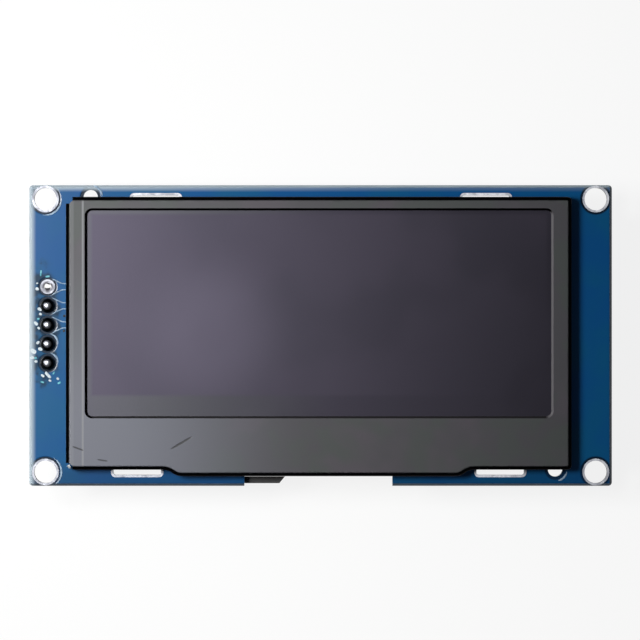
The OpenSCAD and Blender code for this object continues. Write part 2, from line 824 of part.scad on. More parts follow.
pcb();
corner_hole_lands();
tab_slot_lands();
header_lands();
bezel();
front_polarizer();
front_glass();
back_glass();
driver_chip();
panel_flex();
flex_pads();
flex_solder();
flex_tape();
foam_pad();
header_body();
header_pin(1);  // header_pin_1
header_pin(2);  // header_pin_2
header_pin(3);  // header_pin_3
header_pin(4);  // header_pin_4
solder_joint(1);  // solder_joint_1
solder_joint(2);  // solder_joint_2
solder_joint(3);  // solder_joint_3
solder_joint(4);  // solder_joint_4
component_pads();
component_solder();
converter_body();
converter_leads();
regulator_body();
regulator_leads();
diode_body();
diode_leads();
inductor_shell();
inductor_drum();
inductor_coil();
inductor_terminals();
capacitor_bodies();
capacitor_ends();
resistor_bodies();
resistor_ends();
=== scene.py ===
"""Small OLED display module: the finishes, the fine marks, the light and the camera."""
import json
import math

import bmesh
import bpy
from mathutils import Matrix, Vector


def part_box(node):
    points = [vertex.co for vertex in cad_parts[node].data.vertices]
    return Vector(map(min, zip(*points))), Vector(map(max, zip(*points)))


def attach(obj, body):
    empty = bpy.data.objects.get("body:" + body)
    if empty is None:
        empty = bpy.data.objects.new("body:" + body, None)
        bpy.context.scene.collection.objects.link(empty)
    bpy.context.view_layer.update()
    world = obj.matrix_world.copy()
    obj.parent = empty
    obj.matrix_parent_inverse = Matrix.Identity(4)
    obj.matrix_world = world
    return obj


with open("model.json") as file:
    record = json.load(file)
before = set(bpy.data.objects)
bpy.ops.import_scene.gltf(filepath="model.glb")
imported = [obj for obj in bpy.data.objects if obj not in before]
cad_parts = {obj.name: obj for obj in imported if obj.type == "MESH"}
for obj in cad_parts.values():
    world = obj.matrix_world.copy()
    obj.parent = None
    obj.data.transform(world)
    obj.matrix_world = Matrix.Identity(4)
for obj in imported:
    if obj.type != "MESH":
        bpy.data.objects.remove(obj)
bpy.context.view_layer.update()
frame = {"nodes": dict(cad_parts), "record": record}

# Every size below is in millimetres, and a mesh is brought to metres as it is made.
MM = 0.001


def reach(name):
    """The lowest and the highest corner of a CAD node, in millimetres."""
    low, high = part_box(name)
    return low / MM, high / MM


board_low, board_high = reach("pcb")
lands_low, lands_high = reach("header_lands")
bezel_low, bezel_high = reach("bezel")
_, corner_high = reach("corner_hole_lands")
pin_low, _ = reach("header_pin_1")

COPPER = 0.05
front_z = lands_high.z - COPPER  # the board's lacquered front
hole_mount = next(m for m in frame["record"]["mounts"] if m["name"] == "corner_holes")
hole_x = hole_mount["dims"]["spacing_x_mm"] / 2
hole_y = hole_mount["dims"]["spacing_y_mm"] / 2
corner_land_r = corner_high.x - hole_x
pad_r = (lands_high.x - lands_low.x) / 2
header_x = (lands_high.x + lands_low.x) / 2
header_y = (lands_high.y + lands_low.y) / 2
pitch = (lands_high.y - lands_low.y - 2 * pad_r) / 4
pad_places = [Vector((header_x, header_y + (2 - i) * pitch, 0)) for i in range(5)]
BULGE_DROP = 0.86  # how far the bezel's bottom wall bulges out past its ends
bezel_bottom = bezel_low.y + BULGE_DROP
# From the bezel's left and right edges to the middle of the upper and lower locating hole.
LOCATING_FROM_LEFT = 3.2
LOCATING_FROM_RIGHT = 2.1
LOCATING_R = 0.975
locating_places = [Vector((bezel_low.x + LOCATING_FROM_LEFT, bezel_high.y, 0)),
                   Vector((bezel_high.x - LOCATING_FROM_RIGHT, bezel_bottom, 0))]
# The window's borders of bezel face, left, right, above and below it, and its lip.
BORDERS = 2.8, 2.7, 1.8, 7.1
LIP = 0.35
window_low = Vector((bezel_low.x + BORDERS[0], bezel_bottom + BORDERS[3], 0))
window_high = Vector((bezel_high.x - BORDERS[1], bezel_high.y - BORDERS[2], 0))
LIT_BORDER = Vector((0.55, 0.45, 0))  # from the window to the lit area of the panel
LIT_BOTTOM = -8.0  # the lower edge of the lit area
FOLD_R = 0.6
CORNER_R = 0.92  # of the bezel's two closed corners
TRACK_W = 0.7
# The rings free of copper round a land and round a locating hole, and how soft they end.
LAND_RING = 0.3
LOCATING_RING = 0.42
RING_SOFTNESS = 0.1

# The gloss of the three large surfaces, as roughness and specular level.
MASK_GLOSS = 0.2, 0.45
ENAMEL_GLOSS = 0.5, 0.38
FILM_GLOSS = 0.39, 0.6
TIN_METALLIC = 0.45  # tin under its thin skin of oxide


# --- Shader building -----------------------------------------------------------------


def linear(hex_colour):
    """An sRGB hex colour as linear red, green, blue and alpha."""
    parts = [int(hex_colour[i:i + 2], 16) / 255 for i in (1, 3, 5)]
    straight = [p / 12.92 if p <= 0.04045 else ((p + 0.055) / 1.055) ** 2.4 for p in parts]
    return straight + [1.0]


def add(tree, kind, inputs=(), **settings):
    """Adds a node, makes its settings, and links or sets its inputs."""
    made = tree.nodes.new("ShaderNode" + kind)
    for name, value in settings.items():
        setattr(made, name, value)
    for name, value in dict(inputs).items():
        if isinstance(value, bpy.types.Node):
            value = next(output for output in value.outputs if output.enabled)
        if isinstance(value, bpy.types.NodeSocket):
            tree.links.new(value, made.inputs[name])
        elif isinstance(value, str):
            made.inputs[name].default_value = linear(value)
        else:
            made.inputs[name].default_value = value
    return made


def calc(tree, operation, *values):
    """Arithmetic on plain numbers."""
    return add(tree, "Math", dict(enumerate(values)), operation=operation)


def vector(tree, operation, *values):
    """Arithmetic on points and directions."""
    return add(tree, "VectorMath", dict(enumerate(values)), operation=operation)


def blend(tree, share, first, second):
    """A colour that is all the first at a share of 0, and all the second at 1."""
    return add(tree, "Mix", {0: share, 6: first, 7: second}, data_type="RGBA")


def noise(tree, where, size, detail):
    """Cloudy noise whose clouds are about this many millimetres across."""
    return add(tree, "TexNoise", {"Vector": where, "Scale": 1 / size, "Detail": detail})


def ramp(tree, value, low, high, start=0.0, end=1.0, **settings):
    """Runs straight from start, where the value is low, to end, where it is high."""
    return add(tree, "MapRange", {"Value": value, "From Min": low, "From Max": high,
                                  "To Min": start, "To Max": end}, **settings)


def ease(tree, value, low, high, start=0.0, end=1.0):
    """Runs as ramp does, but gently at both ends."""
    return ramp(tree, value, low, high, start, end, interpolation_type="SMOOTHSTEP")


def between(tree, share, start, end):
    """Runs from start at a share of 0 to end at a share of 1."""
    return ramp(tree, share, 0.0, 1.0, start, end)


def begin(name):
    """A new material, its empty node tree, and where a point lies on it in millimetres."""
    material = bpy.data.materials.new(name)
    material.use_nodes = True
    tree = material.node_tree
    tree.nodes.clear()
    metres = add(tree, "TexCoord").outputs["Object"]
    where = add(tree, "VectorMath", {0: metres, "Scale": 1 / MM}, operation="SCALE")
    return material, tree, where


def finish(material, shader):
    """Puts the shader on the material's surface."""
    add(material.node_tree, "OutputMaterial", {"Surface": shader})
    return material


def facing_up(tree, slanted, level):
    """Runs from 0 on a face as steep as slanted to 1 on one as level as level, up or down."""
    normal = add(tree, "NewGeometry").outputs["True Normal"]
    height = add(tree, "SeparateXYZ", {"Vector": normal}).outputs["Z"]
    return ease(tree, calc(tree, "ABSOLUTE", height), slanted, level)


def depth_inside(tree, where, low, high):
    """How far a point lies in from the nearest side of a rectangle: below 0 outside it."""
    away = vector(tree, "SUBTRACT", where, (low + high) / 2)
    away = vector(tree, "ABSOLUTE", away)
    inward = vector(tree, "SUBTRACT", (high - low) / 2, away)
    inward = add(tree, "SeparateXYZ", {"Vector": inward})
    return calc(tree, "MINIMUM", inward.outputs["X"], inward.outputs["Y"])


# --- Finishes ------------------------------------------------------------------------


def lacquered_laminate():
    """Woven glass and epoxy laminate, FR4, under a sprayed and cured blue solder mask.
    The mask is glossy and a little wavy. It sinks into a dark ring round each land and
    locating hole, where there is no copper. Flux has darkened it round the header. The
    scored edges are bare: pale, matt and layered."""
    material, tree, where = begin("lacquered_glass_laminate")
    axes = add(tree, "SeparateXYZ", {"Vector": where})
    flat = add(tree, "CombineXYZ", {"X": axes.outputs["X"], "Y": axes.outputs["Y"]})
    face = facing_up(tree, 0.85, 0.95)

    # One distance serves the four corner holes, and one the five header holes.
    folded = vector(tree, "ABSOLUTE", flat)
    from_corner = vector(tree, "DISTANCE", folded, (hole_x, hole_y, 0))
    steps = ramp(tree, axes.outputs["Y"], header_y, header_y + pitch, clamp=False)
    steps = calc(tree, "ROUND", steps)
    steps = add(tree, "Clamp", {"Value": steps, "Min": -2.0, "Max": 2.0})
    row_y = calc(tree, "MULTIPLY_ADD", steps, pitch, header_y)
    nearest = add(tree, "CombineXYZ", {"X": header_x, "Y": row_y})
    from_pad = vector(tree, "DISTANCE", flat, nearest)
    sunk = None
    rings = [(from_corner, corner_land_r + LAND_RING), (from_pad, pad_r + LAND_RING)]
    for hole in locating_places:
        from_hole = vector(tree, "DISTANCE", flat, hole)
        rings.append((from_hole, LOCATING_R + LOCATING_RING))
    for away, edge in rings:
        ring = ease(tree, away, edge - RING_SOFTNESS, edge + RING_SOFTNESS, 1.0, 0.0)
        sunk = ring if sunk is None else calc(tree, "MAXIMUM", sunk, ring)

    # Clouds where the mask was laid on thicker, about 9 mm across.
    clouds = ease(tree, noise(tree, where, 9, 3.0), 0.38, 0.62)
    blue = blend(tree, clouds, "#024071", "#03456c")
    # Flux from soldering by hand leaves a dark oval patch round the header, ragged at
    # its edge and blotched.
    ragged = noise(tree, where, 1.3, 3.0)
    spread = vector(tree, "SUBTRACT", flat, (header_x - 0.6, header_y, 0))
    half_width, half_height = 2.4, 8.4
    spread = vector(tree, "MULTIPLY", spread, (1 / half_width, 1 / half_height, 0))
    spread = vector(tree, "LENGTH", spread)
    spread = calc(tree, "MULTIPLY_ADD", ragged, 0.7, spread)
    patch = ease(tree, spread, 1.15, 1.4, 1.0, 0.0)
    blotches = ramp(tree, noise(tree, where, 0.9, 2.0), 0.42, 0.6)
    flux = blend(tree, blotches, "#01243a", "#023c5e")
    blue = blend(tree, patch, blue, flux)
    blue = blend(tree, sunk, blue, "#04182a")

    # The scored edge shows pale bands of glass cloth through its resin, bent and a little
    # over 1 mm apart.
    layers = add(tree, "TexWave", {"Vector": where, "Scale": 0.25, "Distortion": 3.0,
                                   "Detail": 2.0}, bands_direction="Z")
    bare = blend(tree, layers, "#7f8f97", "#9aa7ab")
    colour = blend(tree, face, bare, blue)
    # The edges carry painted light: a pale painted highlight along the top and left
    # edges, weaker to the right, and painted shade along the other two, over the slope of
    # the score, with a wider band of painted shade all along the bottom. Each band is all
    # there within its first distance from the edge, and has gone by the second.
    edge_highlight_fade = ramp(tree, axes.outputs["X"], -30.0, 12.0, 1.0, 0.3)
    in_low = vector(tree, "SUBTRACT", flat, board_low)
    in_low = add(tree, "SeparateXYZ", {"Vector": in_low})
    in_high = vector(tree, "SUBTRACT", board_high, flat)
    in_high = add(tree, "SeparateXYZ", {"Vector": in_high})
    for edge, other, full, gone, shade, strength in (
            (in_low.outputs["Y"], in_low.outputs["Y"], 1.5, 3.5, "#02294a", 0.45),
            (in_low.outputs["Y"], in_high.outputs["X"], 0.15, 0.5, "#04162a", 0.85),
            (in_low.outputs["X"], in_high.outputs["Y"], 0.15, 1.0, "#8b979f", edge_highlight_fade)):
        near = calc(tree, "MINIMUM", edge, other)
        near = ease(tree, near, full, gone, strength, 0.0)
        near = calc(tree, "MULTIPLY", near, facing_up(tree, 0.2, 0.5))
        colour = blend(tree, near, colour, shade)
    rough = between(tree, face, 0.6, MASK_GLOSS[0])
    ripple = noise(tree, where, 1.6, 2.0)
    lift = calc(tree, "MULTIPLY_ADD", sunk, -1.0, 1.0)
    lift = calc(tree, "MULTIPLY_ADD", ripple, 0.2, lift)
    bump = add(tree, "Bump", {"Height": lift, "Distance": 0.012 * MM})
    return finish(material, add(tree, "BsdfPrincipled", {
        "Base Color": colour, "Roughness": rough, "IOR": 1.5,
        "Specular IOR Level": MASK_GLOSS[1], "Normal": bump}))


def levelled_tin(name, stained_below=None):
    """Copper dipped in molten tin and blown level with hot air: a bright white metal,
    satin and slightly lumpy, with a dull oxide in clouds. It is painted duller to the left
    as painted light, and painted dark down the walls of the holes as painted shade. Where
    a height is given, burnt flux has stained all that lies below it, and dross clings round
    the mouth of the empty hole."""
    material, tree, where = begin(name)
    clouds = ease(tree, noise(tree, where, 1.1, 3.0), 0.38, 0.65)
    bright = blend(tree, clouds, "#e4e6ec", "#a5a7af")
    # Painted light: the tin is painted duller to the left, running to bright at the right.
    painted_dull_left_tin = blend(tree, clouds, "#93959d", "#6c6e76")
    across = add(tree, "SeparateXYZ", {"Vector": where}).outputs["X"]
    across = ramp(tree, across, -34.0, 20.0)
    bright = blend(tree, across, painted_dull_left_tin, bright)
    metallic = TIN_METALLIC
    if stained_below is not None:
        height = add(tree, "SeparateXYZ", {"Vector": where}).outputs["Y"]
        stained = ramp(tree, height, stained_below - 0.1, stained_below + 0.1, 1.0, 0.0)
        flat = vector(tree, "MULTIPLY", where, (1, 1, 0))
        away = vector(tree, "DISTANCE", flat, pad_places[0])
        mouth = ramp(tree, away, 0.62, 0.82, 1.0, 0.0)
        dross = ramp(tree, noise(tree, where, 0.45, 2.0), 0.42, 0.58, 0.3, 1.0)
        dross = calc(tree, "MULTIPLY", mouth, dross)
        bright = blend(tree, dross, bright, "#2e2c33")
        bright = blend(tree, stained, bright, "#060708")
        metallic = between(tree, stained, TIN_METALLIC, 1.0)
    # Painted shade: the walls of the holes are painted dark.
    colour = blend(tree, facing_up(tree, 0.3, 0.8), "#3c3d3c", bright)
    rough = between(tree, clouds, 0.36, 0.5)
    lumps = noise(tree, where, 0.5, 3.0)
    bump = add(tree, "Bump", {"Height": lumps, "Distance": 0.03 * MM})
    return finish(material, add(tree, "BsdfPrincipled", {
        "Base Color": colour, "Metallic": metallic, "Roughness": rough, "Normal": bump}))


def flowed_solder():
    """Tin solder that ran and set by itself: a smooth silver crown, with its steep flanks
    round the foot painted near black as a painted dark reflection, and a faint frosting."""
    material, tree, where = begin("flowed_tin_solder")
    frost = ease(tree, noise(tree, where, 0.5, 3.0), 0.35, 0.7)
    skin = blend(tree, frost, "#c2c4cb", "#9a9ea9")
    # Painted reflection: all but the nearly level top is painted near black.
    colour = blend(tree, facing_up(tree, 0.8, 0.95), "#08090b", skin)
    rough = between(tree, frost, 0.3, 0.4)
    ripple = noise(tree, where, 0.35, 2.0)
    bump = add(tree, "Bump", {"Height": ripple, "Distance": 0.012 * MM})
    return finish(material, add(tree, "BsdfPrincipled", {
        "Base Color": colour, "Metallic": 1.0, "Roughness": rough, "Normal": bump}))


def enamelled_steel():
    """Thin sheet steel, folded and then coated with satin black enamel. The flat face
    is painted a greyish tone as a painted sheen, lighter at its lower left as a painted
    reflection, with faint green and purple clouds, two pale painted highlight lines and three
    short scratches. The lip of the window has a painted highlight where it faces left and up.
    The folds and walls stay black."""
    material, tree, where = begin("satin_black_enamel_on_steel")
    face = facing_up(tree, 0.96, 0.999)
    fold = calc(tree, "SUBTRACT", facing_up(tree, 0.1, 0.35), face)
    # The flat face is painted grey, a painted sheen on the black enamel, with faint green and
    # purple clouds in it.
    green = ease(tree, noise(tree, where, 5.5, 2.0), 0.42, 0.6)
    painted_sheen = blend(tree, green, "#323135", "#303433")
    purple = ease(tree, noise(tree, where, 7, 2.0), 0.5, 0.66)
    painted_sheen = blend(tree, purple, painted_sheen, "#373339")
    # A painted reflection: the sheen is painted lighter round a point near the lower left.
    reflection_at = bezel_low.x + 4, bezel_bottom + 2, bezel_high.z
    from_reflection = vector(tree, "DISTANCE", where, reflection_at)
    painted_reflection = ease(tree, from_reflection, 3.0, 29.0, 1.0, 0.0)
    painted_sheen = blend(tree, painted_reflection, painted_sheen, "#50525b")
    streak = noise(tree, where, 2, 3.0)
    black = blend(tree, streak, "#020203", "#050507")
    colour = blend(tree, face, black, painted_sheen)
    # Two painted highlight lines run down the left border, by its fold and by the window.
    # Each has its middle, its half width with and without the soft edge, and its strength.
    across = add(tree, "SeparateXYZ", {"Vector": where}).outputs["X"]
    for line, near, far, strength in ((bezel_low.x + 0.8, 0.1, 0.4, 0.25),
                                      (window_low.x - LIP - 0.18, 0.05, 0.2, 0.75)):
        away = calc(tree, "ABSOLUTE", calc(tree, "SUBTRACT", across, line))
        highlight_line = ease(tree, away, near, far, strength, 0.0)
        highlight_line = calc(tree, "MULTIPLY", highlight_line, face)
        colour = blend(tree, highlight_line, colour, "#68696c")
    # The coined lip of the window is painted grey where it faces left and up, a painted
    # highlight on the sides that face the light.
    inside = depth_inside(tree, where, window_low, window_high)
    inside = calc(tree, "GREATER_THAN", inside, -LIP)
    normal = add(tree, "NewGeometry").outputs["True Normal"]
    facing = vector(tree, "DOT_PRODUCT", normal, (-1.0, 0.45, 0.0))
    lip_highlight = ease(tree, facing, 0.15, 0.65)
    lip_highlight = calc(tree, "MULTIPLY", lip_highlight, inside)
    colour = blend(tree, lip_highlight, colour, "#504e51")
    off_lip_highlight = calc(tree, "MULTIPLY_ADD", lip_highlight, -1.0, 1.0)
    fold = calc(tree, "MULTIPLY", fold, off_lip_highlight)

    # Each scratch runs from one end to the other, with this half width in the middle.
    marked = None
    for start, end, half in (((-32.9, -14.7), (-31.4, -15.25), 0.11),
                             ((-29.6, -16.45), (-28.2, -16.65), 0.1),
                             ((-19.9, -15.1), (-17.0, -13.4), 0.15)):
        start, end = Vector((*start, 0)), Vector((*end, 0))
        along = (end - start).normalized()
        offset = vector(tree, "SUBTRACT", where, (start + end) / 2)
        run = vector(tree, "DOT_PRODUCT", offset, along * 2 / (end - start).length)
        side = vector(tree, "DOT_PRODUCT", offset, (-along.y / half, along.x / half, 0))
        run = calc(tree, "POWER", run, 4.0)
        side = calc(tree, "POWER", side, 2.0)
        apart = calc(tree, "ADD", run, side)
        mark = ease(tree, apart, 0.3, 1.2, 1.0, 0.0)
        marked = mark if marked is None else calc(tree, "MAXIMUM", marked, mark)
    marked = calc(tree, "MULTIPLY", marked, face)
    scratch = calc(tree, "MULTIPLY", marked, 0.85)
    colour = blend(tree, scratch, colour, "#0a0a0b")

    grain = calc(tree, "MULTIPLY", noise(tree, where, 0.35, 2.0), 0.15)
    lift = calc(tree, "SUBTRACT", grain, marked)
    bump = add(tree, "Bump", {"Height": lift, "Distance": 0.02 * MM})
    # Metallic only takes the sheen off the folds, where the coat is thin and dull. It is
    # no bare metal there.
    rough = between(tree, fold, ENAMEL_GLOSS[0], 0.95)
    return finish(material, add(tree, "BsdfPrincipled", {
        "Base Color": colour, "Metallic": fold, "Roughness": rough, "IOR": 1.5,
        "Specular IOR Level": ENAMEL_GLOSS[1], "Normal": bump}))


def antiglare_polarizer():
    """Stretched polarizer film with an etched anti-glare skin. It is dark and purplish
    over the lit area of the panel, with a milky painted reflection left of the middle and
    painted shade to the lower right. Over the edge of the panel and its contact strip it is
    greener on the left and nearly black on the right."""
    material, tree, where = begin("etched_polarizer_film")
    flat = vector(tree, "MULTIPLY", where, (1, 1, 0))
    lit_low = Vector((window_low.x + LIT_BORDER.x, LIT_BOTTOM, 0))
    lit_area = depth_inside(tree, where, lit_low, window_high - LIT_BORDER)
    lit_area = ease(tree, lit_area, -0.25, 0.35)
    clouds = ease(tree, noise(tree, where, 14, 2.0), 0.4, 0.62)
    lit = blend(tree, clouds, "#161519", "#18151a")
    # A painted reflection, milky, left of the middle, and painted shade to the lower right.
    for middle, near, far, tone in (((-15, 0, 0), 3.0, 13.0, "#302d35"),
                                    ((29, -9, 0), 4.0, 34.0, "#060607")):
        away = vector(tree, "DISTANCE", flat, middle)
        away = ease(tree, away, near, far, 1.0, 0.0)
        lit = blend(tree, away, lit, tone)
    across = add(tree, "SeparateXYZ", {"Vector": where}).outputs["X"]
    across = ramp(tree, across, -22.0, 2.0)
    border = blend(tree, across, "#262c22", "#050505")
    colour = blend(tree, lit_area, border, lit)
    rough = between(tree, clouds, FILM_GLOSS[0] - 0.01, FILM_GLOSS[0] + 0.02)
    etch = noise(tree, where, 0.25, 1.0)
    bump = add(tree, "Bump", {"Height": etch, "Distance": 0.003 * MM})
    return finish(material, add(tree, "BsdfPrincipled", {
        "Base Color": colour, "Roughness": rough, "IOR": 1.5,
        "Specular IOR Level": FILM_GLOSS[1], "Specular Tint": (0.8, 0.73, 1.0, 1.0),
        "Normal": bump}))


def float_glass():
    """Thin polished soda-lime glass, slightly green at its cut edges."""
    material, tree, where = begin("polished_float_glass")
    flat = facing_up(tree, 0.1, 0.6)
    colour = blend(tree, flat, "#8fb3a6", "#dfe6e6")
    rough = between(tree, flat, 0.3, 0.05)
    ripple = noise(tree, where, 0.4, 3.0)
    bump = add(tree, "Bump", {"Height": ripple, "Distance": 0.002 * MM})
    return finish(material, add(tree, "BsdfPrincipled", {
        "Base Color": colour, "Roughness": rough, "IOR": 1.52, "Transmission Weight": 0.85,
        "Normal": bump}))


def grained(name, dark, light, grain, rough, depth, metallic=0.0, stretch=(1, 1, 1)):
    """A finish of two close tones in fine grains, this many millimetres across, with a
    bump of the same grain."""
    material, tree, where = begin(name)
    where = vector(tree, "MULTIPLY", where, stretch)
    texture = noise(tree, where, grain, 3.0)
    grains = ease(tree, texture, 0.35, 0.65)
    colour = blend(tree, grains, dark, light)
    rough = between(tree, grains, rough - 0.05, rough + 0.05)
    bump = add(tree, "Bump", {"Height": texture, "Distance": depth * MM})
    return finish(material, add(tree, "BsdfPrincipled", {
        "Base Color": colour, "Metallic": metallic, "IOR": 1.5, "Roughness": rough,
        "Normal": bump}))


def ribbed(name, ground, rib, axis, spacing, share, rough, depth, metallic=0.0):
    """A finish with even round ribs across one axis, such as tracks in film or turns of
    wire, where each rib takes this share of the spacing."""
    material, tree, where = begin(name)
    across = add(tree, "SeparateXYZ", {"Vector": where}).outputs[axis]
    turns = calc(tree, "DIVIDE", across, spacing)
    wave = calc(tree, "PINGPONG", turns, 0.5)
    rise = ease(tree, wave, 0.5 * share - 0.06, 0.5 * share + 0.06, 1.0, 0.0)
    clouds = noise(tree, where, 1.2, 3.0)
    shade = between(tree, clouds, 1.0, 0.55)
    shade = calc(tree, "MULTIPLY", rise, shade)
    colour = blend(tree, shade, ground, rib)
    rough = between(tree, clouds, rough - 0.05, rough + 0.05)
    bump = add(tree, "Bump", {"Height": rise, "Distance": depth * MM})
    return finish(material, add(tree, "BsdfPrincipled", {
        "Base Color": colour, "Metallic": metallic, "Roughness": rough, "Normal": bump}))


lacquer = lacquered_laminate()
tin = levelled_tin("hot_air_levelled_tin")
stained_tin = levelled_tin("flux_stained_tin", stained_below=pad_places[0].y - pitch / 2)
solder = flowed_solder()
enamel = enamelled_steel()
film = antiglare_polarizer()
glass = float_glass()
# A polished die back, mirror grey with faint sawing lines.
silicon = grained("lapped_silicon", "#3f424a", "#4d515b", 0.6, 0.2, 0.002, metallic=0.6,
                  stretch=(6, 1, 1))
# Amber film with its rolled copper tracks showing through, one for each contact.
polyimide = ribbed("polyimide_with_copper_tracks", "#7c4312", "#b0701f", "X", 0.7, 0.55,
                   0.32, 0.02)
# Matt black polyester tape, with the fine web of its backing.
tape = grained("black_polyester_tape", "#1e1e1f", "#272728", 0.35, 0.6, 0.02)
# Closed-cell foam: matt black with open pores at its cut edge.
foam = grained("closed_cell_foam", "#0d0d0d", "#1a1a1a", 0.25, 0.9, 0.1)
# Glass-filled nylon, moulded: black, with a fine dull grain.
nylon = grained("moulded_black_nylon", "#0c0c0d", "#161617", 0.3, 0.5, 0.015)
# Gold flashed on brass, bright with a faint drawing grain along the pin.
gold = grained("gold_flashed_brass", "#d8b25a", "#e6c775", 0.5, 0.24, 0.004, metallic=1.0,
               stretch=(4, 4, 1))
# Transfer-moulded epoxy: charcoal black and slightly sparkly.
epoxy = grained("moulded_epoxy_compound", "#121214", "#1d1d20", 0.18, 0.55, 0.012)
# Sintered ferrite: dark grey, dense and dull, with chipped grains.
ferrite = grained("sintered_ferrite", "#232325", "#313134", 0.3, 0.62, 0.03)
# Enamelled copper wire wound in close turns.
wire = ribbed("wound_enamelled_copper", "#5a2410", "#b5622c", "Z", 0.16, 0.8, 0.3, 0.05,
              metallic=0.8)
# Fired barium titanate: tan, fine and dull.
titanate = grained("fired_tan_ceramic", "#8a6a42", "#9c7b50", 0.35, 0.5, 0.01)
# Black glaze printed over white alumina.
glaze = grained("printed_black_glaze", "#0b0b0c", "#141416", 0.4, 0.3, 0.006)


def dress(material, *names):
    """Gives these CAD nodes their finish."""
    for name in names:
        slots = frame["nodes"][name].data.materials
        slots.clear()
        slots.append(material)


dress(lacquer, "pcb")
dress(stained_tin, "header_lands")
dress(tin, "corner_hole_lands", "tab_slot_lands", "flex_pads",
      "component_pads", "converter_leads", "regulator_leads", "diode_leads",
      "inductor_terminals", "capacitor_ends", "resistor_ends")
dress(solder, "flex_solder", "component_solder", *[f"solder_joint_{i}" for i in range(1, 5)])
dress(enamel, "bezel")
dress(film, "front_polarizer")
dress(glass, "front_glass", "back_glass")
dress(silicon, "driver_chip")
dress(polyimide, "panel_flex")
dress(tape, "flex_tape")
dress(foam, "foam_pad")
dress(nylon, "header_body")
dress(gold, *[f"header_pin_{i}" for i in range(1, 5)])
dress(epoxy, "converter_body", "regulator_body", "diode_body")
dress(ferrite, "inductor_shell", "inductor_drum")
dress(wire, "inductor_coil")
dress(titanate, "capacitor_bodies")
dress(glaze, "resistor_bodies")


# --- Fine marks on the board ---------------------------------------------------------


def piece_of(name, mesh, material, smooth=True):
    """Finishes a mesh made in millimetres as a piece that rides on the part."""
    bmesh.ops.scale(mesh, vec=(MM, MM, MM), verts=mesh.verts)
    bmesh.ops.recalc_face_normals(mesh, faces=mesh.faces)
    data = bpy.data.meshes.new(name)
    mesh.to_mesh(data)
    mesh.free()
    data.materials.append(material)
    if smooth:
        data.shade_smooth()
    piece = bpy.data.objects.new(name, data)
    bpy.context.scene.collection.objects.link(piece)
    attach(piece, "root")


def ridge(mesh, points, width, height, z, taper=0.35):
    """A low round ridge along a line of (x, y) points, thinning out over the last
    stretch, this long, at both ends."""
    points = [Vector(p) for p in points]
    lengths = [0.0]
    for before, after in zip(points, points[1:]):
        lengths.append(lengths[-1] + (after - before).length)
    rings = []
    for i, point in enumerate(points):
        before, after = points[max(i - 1, 0)], points[min(i + 1, len(points) - 1)]
        along = (after - before).normalized()
        side = Vector((-along.y, along.x))
        left = min(lengths[i], lengths[-1] - lengths[i])
        share = min(1.0, 0.15 + left / taper)
        ring = []
        for k in range(7):
            angle = math.pi * k / 6
            out = side * (math.cos(angle) * width / 2 * share)
            ring.append(mesh.verts.new((point.x + out.x, point.y + out.y,
                                        z + math.sin(angle) * height * share)))
        rings.append(ring)
    for low, high in zip(rings, rings[1:]):
        for a, b, c, d in zip(low, low[1:], high[1:], high):
            mesh.faces.new((a, b, c, d))
        mesh.faces.new((low[0], high[0], high[-1], low[-1]))
    mesh.faces.new(rings[0])
    mesh.faces.new(reversed(rings[-1]))


def curve_through(corners, step=0.08):
    """Points close together along a path of (x, y) corners, with the corners eased."""
    corners = [Vector(c) for c in corners]
    dense = []
    for a, b in zip(corners, corners[1:]):
        count = max(2, round((b - a).length / step))
        dense += [a.lerp(b, k / count) for k in range(count)]
    dense.append(corners[-1])
    for _ in range(4):
        inner = [(a + b + c) / 3 for a, b, c in zip(dense, dense[1:], dense[2:])]
        dense = [dense[0], *inner, dense[-1]]
    return dense


def arc(centre, radius, start, end, count=24):
    """Points on an arc, with its angles in degrees from +X."""
    angles = [math.radians(start + (end - start) * k / count) for k in range(count + 1)]
    return [(centre.x + radius * math.cos(a), centre.y + radius * math.sin(a)) for a in angles]


def stroke(mesh, centre, length, width, turn, z, height=0.02):
    """A short blunt stroke of ink, lying flat."""
    across = max(width, 0.05) / 2
    run = max(length / 2 - across, 0.0)
    turn = math.radians(turn)
    along = Vector((math.cos(turn), math.sin(turn)))
    side = Vector((-along.y, along.x))
    outline = []
    for end, sign in ((run, 1), (-run, -1)):
        for k in range(7):
            angle = math.radians(-90 + 30 * k)
            local = along * (end + sign * math.cos(angle) * across)
            outline.append(Vector(centre) + local + side * (sign * math.sin(angle) * across))
    lower = [mesh.verts.new((p.x, p.y, z)) for p in outline]
    inner = [Vector(centre) + (p - Vector(centre)) * 0.9 for p in outline]
    upper = [mesh.verts.new((p.x, p.y, z + height)) for p in inner]
    for i in range(len(outline)):
        j = (i + 1) % len(outline)
        mesh.faces.new((lower[i], lower[j], upper[j], upper[i]))
    mesh.faces.new(upper)
    mesh.faces.new(reversed(lower))


# White screened ink: chalky and matt, with a soft edge.
ink = grained("screened_white_ink", "#949fa4", "#b0b9bd", 0.2, 0.6, 0.004)
# Where the mask runs thin over the edge of the copper it is paler, and this finish paints it
# paler still as a painted highlight.
mask_edge_highlight = grained("mask_thin_over_copper_painted_highlight", "#5d7489", "#7d92a4", 0.5, 0.5, 0.003)
# The same mask sunk into a small plated hole, where it is thick and nearly black.
deep_mask = grained("mask_pooled_in_a_hole", "#03101c", "#06182a", 0.3, 0.25, 0.003)
# Flux resin dried thin is clear and green over the mask. The black finish is painted shade,
# for the dark inside of the empty hole.
green_flux = grained("dried_flux_resin", "#2f7784", "#4c98a3", 0.3, 0.25, 0.004)
hole_shade_black = grained("black_painted_hole_shade", "#17161b", "#2b2a31", 0.2, 0.8, 0.01)
# Raw steel at a corner where the enamel has rubbed through.
raw_steel = grained("worn_bright_steel", "#c9cfd2", "#e4e9ea", 0.2, 0.4, 0.01, metallic=1.0)

